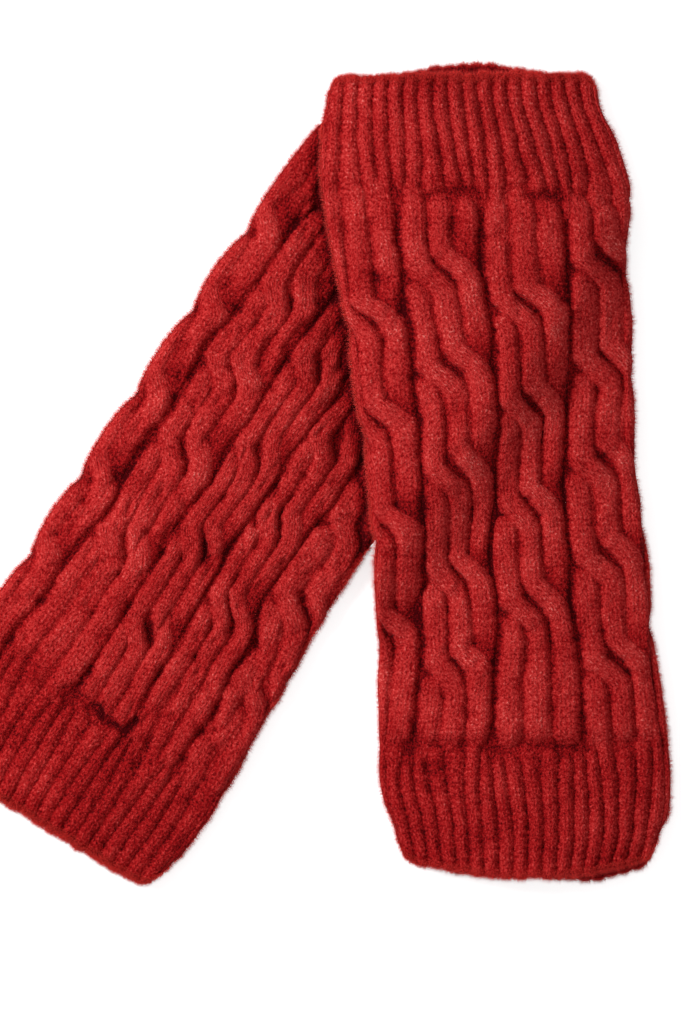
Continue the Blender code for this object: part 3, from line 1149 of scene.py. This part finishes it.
class NodeMaker:
    """Adds shader nodes to a material and links them."""

    def __init__(self, material):
        self.tree = material.node_tree

    def node(self, kind, **inputs):
        """A new node with its inputs fed, their names written with underscores for spaces."""
        made = self.tree.nodes.new(kind)
        for name, value in inputs.items():
            self.feed(made.inputs[name.replace("_", " ")], value)
        return made

    def feed(self, socket, value):
        """Link a socket to another, or give it a value."""
        if isinstance(value, bpy.types.NodeSocket):
            self.tree.links.new(value, socket)
        else:
            socket.default_value = value

    def math(self, operation, first, second=0.0, third=0.0):
        """The result of a sum."""
        made = self.tree.nodes.new("ShaderNodeMath")
        made.operation = operation
        for socket, value in zip(made.inputs, (first, second, third)):
            self.feed(socket, value)
        return made.outputs[0]

    def add(self, value, amount, base):
        """A base, with so much of a value added."""
        return self.math("MULTIPLY_ADD", value, amount, base)

    def about(self, value, amount, base):
        """A base, with a value that runs from 0 to 1 added about its middle."""
        return self.add(self.math("SUBTRACT", value, 0.5), amount, base)

    def noise(self, place, scale, detail):
        """Cloudy noise from 0 to 1."""
        made = self.node("ShaderNodeTexNoise", Vector=place, Scale=scale, Detail=detail, Roughness=0.6)
        return made.outputs["Fac"]

    def attribute(self, name):
        """A value that the mesh's points have."""
        made = self.tree.nodes.new("ShaderNodeAttribute")
        made.attribute_name = name
        return made.outputs["Fac"]

    def ramp(self, factor, colours):
        """A colour that runs evenly through a row of colours."""
        made = self.node("ShaderNodeValToRGB", Fac=factor)
        stops = made.color_ramp.elements
        for _ in colours[2:]:
            stops.new(0.5)
        for index, colour in enumerate(colours):
            stops[index].position = index / (len(colours) - 1)
            stops[index].color = colour
        return made.outputs["Color"]


def matt_material(name, roughness, specular):
    """A material with hardly any shine, and the inputs of its surface."""
    material = bpy.data.materials.new(name)
    material.use_nodes = True
    surface = material.node_tree.nodes["Principled BSDF"].inputs
    surface["Roughness"].default_value = roughness
    surface["Specular IOR Level"].default_value = specular
    return material, surface


def knit_material(name):
    """Brushed red wool: V-shaped stitches, tufts, flecks, mottled colour and a soft sheen, with painted shade
    in its hollows and the painted light and shade of its points' tone.
    """
    material, surface = matt_material(name, WOOL_ROUGHNESS, WOOL_SHINE)
    maker = NodeMaker(material)
    stitches = maker.tree.nodes.new("ShaderNodeUVMap")
    stitches.uv_map = "stitches"
    tufts_place = maker.node("ShaderNodeVectorMath", Vector=stitches.outputs["UV"])
    tufts_place.operation = "MULTIPLY"
    tufts_place.inputs[1].default_value = (STITCH_WIDTH, ROW_HEIGHT / TUFT_STRETCH, 1.0)
    tufts = maker.noise(tufts_place.outputs["Vector"], TUFT_SCALE, 3.0)
    place = maker.tree.nodes.new("ShaderNodeTexCoord").outputs["Object"]
    flecks = maker.noise(place, FLECK_SCALE, 2.0)
    mottle = maker.noise(place, MOTTLE_SCALE, 3.0)

    split = maker.node("ShaderNodeSeparateXYZ", Vector=stitches.outputs["UV"])
    from_middle = maker.math("SUBTRACT", maker.math("FRACT", split.outputs["X"]), 0.5)
    from_middle = maker.math("ABSOLUTE", from_middle)
    leg = maker.math("SUBTRACT", 1.0, maker.math("ABSOLUTE", maker.add(from_middle, 4.0, -1.0)))
    row = maker.add(tufts, TUFT_WARP, maker.add(from_middle, STITCH_SLANT, split.outputs["Y"]))
    loop_wave = maker.math("SINE", maker.math("MULTIPLY", maker.math("FRACT", row), math.pi))
    stitch = maker.math("MULTIPLY", maker.math("POWER", leg, STITCH_SHARPNESS), loop_wave)

    tone = maker.add(stitch, STITCH_TONE, TONE_LEVEL)
    tone = maker.about(tufts, TUFT_TONE, tone)
    tone = maker.about(flecks, FLECK_TONE, tone)
    tone = maker.about(mottle, MOTTLE_TONE, tone)
    # The points' tone adds the painted light and shade worked out for the knit.
    tone = maker.math("ADD", maker.attribute("tone"), tone)
    # Painted shade: the deeper the knit lies, the darker its colour.
    tone = maker.add(maker.math("POWER", maker.attribute("depth"), 2.0), GROOVE_SHADE, tone)
    height = maker.add(stitch, STITCH_BUMP, 0.0)
    height = maker.add(tufts, TUFT_BUMP, height)
    height = maker.add(flecks, FLECK_BUMP, height)
    bump = maker.node("ShaderNodeBump", Height=height, Strength=BUMP_STRENGTH, Distance=BUMP_DISTANCE)

    maker.feed(surface["Base Color"], maker.ramp(tone, WOOL_COLOURS))
    maker.feed(surface["Normal"], bump.outputs["Normal"])
    surface["Sheen Weight"].default_value = SHEEN_WEIGHT
    surface["Sheen Roughness"].default_value = SHEEN_ROUGHNESS
    surface["Sheen Tint"].default_value = SHEEN_COLOUR
    return material


def fibre_material(fuzz):
    """Single red fibres without any shine."""
    material, surface = matt_material(fuzz.name + "_fibre", 1.0, WOOL_SHINE)
    surface["Base Color"].default_value = fuzz.colour
    return material


# ---- the pair

def add_piece(garment, piece, material):
    """A knitted piece that stands for its CAD solid."""
    name = garment.name + "_" + piece
    thing = add_object(name + "_knit", shell_mesh(garment, piece))
    thing.data.materials.append(material)
    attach(thing, "root")
    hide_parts(name)
    return thing


def declare_cloth(garment, piece):
    """Work out the average distance round a piece; nothing uses it."""
    if piece == "body":
        start, end = CUFF_LENGTH, garment.length - CUFF_LENGTH
    else:
        start, end = 0.0, CUFF_LENGTH
        if piece == "bottom_cuff":
            start, end = garment.length - CUFF_LENGTH, garment.length
    around = float(np.mean(girth(garment, np.linspace(start, end, GIRTH_SAMPLES))))


def build_pair():
    """Both leg warmers: the lower one, then the upper one that lies over it."""
    cable = knit_material("cable_wool")
    rib = knit_material("rib_wool")
    fibres = [fibre_material(fuzz) for fuzz in FUZZES]
    for garment in (LOWER, UPPER):
        for piece in ("top_cuff", "body", "bottom_cuff"):
            thing = add_piece(garment, piece, cable if piece == "body" else rib)
            declare_cloth(garment, piece)
        add_fuzz(garment, fibres)


# ---- the stage

def add_floor():
    """A plain floor: white to the eye where light reaches it, and darker only in close shadow."""
    bpy.ops.mesh.primitive_plane_add(size=FLOOR_SIZE, location=(0.0, 0.0, 0.0))
    floor = bpy.context.object
    floor.name = "floor"
    material, surface = matt_material("floor_white", 1.0, 0.0)
    maker = NodeMaker(material)
    surface["Base Color"].default_value = FLOOR_GREY
    surface["Emission Color"].default_value = WHITE
    path = maker.tree.nodes.new("ShaderNodeLightPath").outputs
    seen = maker.math("ADD", path["Is Camera Ray"], path["Is Glossy Ray"])
    seen = maker.math("ADD", seen, path["Is Transmission Ray"])
    maker.feed(surface["Emission Strength"], maker.math("MULTIPLY", seen, FLOOR_GLOW))
    floor.data.materials.append(material)


def add_lights():
    """A large soft lamp from the upper left, and an even pale sky."""
    lamp_data = bpy.data.lights.new("soft_key", "AREA")
    lamp_data.shape = "DISK"
    lamp_data.size = LAMP_SIZE
    lamp_data.energy = LAMP_POWER
    lamp = add_object("soft_key", lamp_data)
    lamp.location = LAMP_PLACE
    lamp.rotation_euler = lamp.location.to_track_quat("Z", "Y").to_euler()
    world = bpy.data.worlds.new("sky")
    world.use_nodes = True
    background = world.node_tree.nodes["Background"].inputs
    background["Color"].default_value = WHITE
    background["Strength"].default_value = SKY_STRENGTH
    bpy.context.scene.world = world


def add_camera():
    """A long lens straight above the pair."""
    camera_data = bpy.data.cameras.new("camera")
    camera_data.sensor_width = SENSOR_WIDTH
    camera_data.lens = SENSOR_WIDTH * CAMERA_PLACE[2] / VIEW_HEIGHT
    camera = add_object("camera", camera_data)
    camera.location = CAMERA_PLACE
    bpy.context.scene.camera = camera


add_floor()
build_pair()
add_lights()
add_camera()
bpy.context.scene.view_settings.view_transform = "Standard"
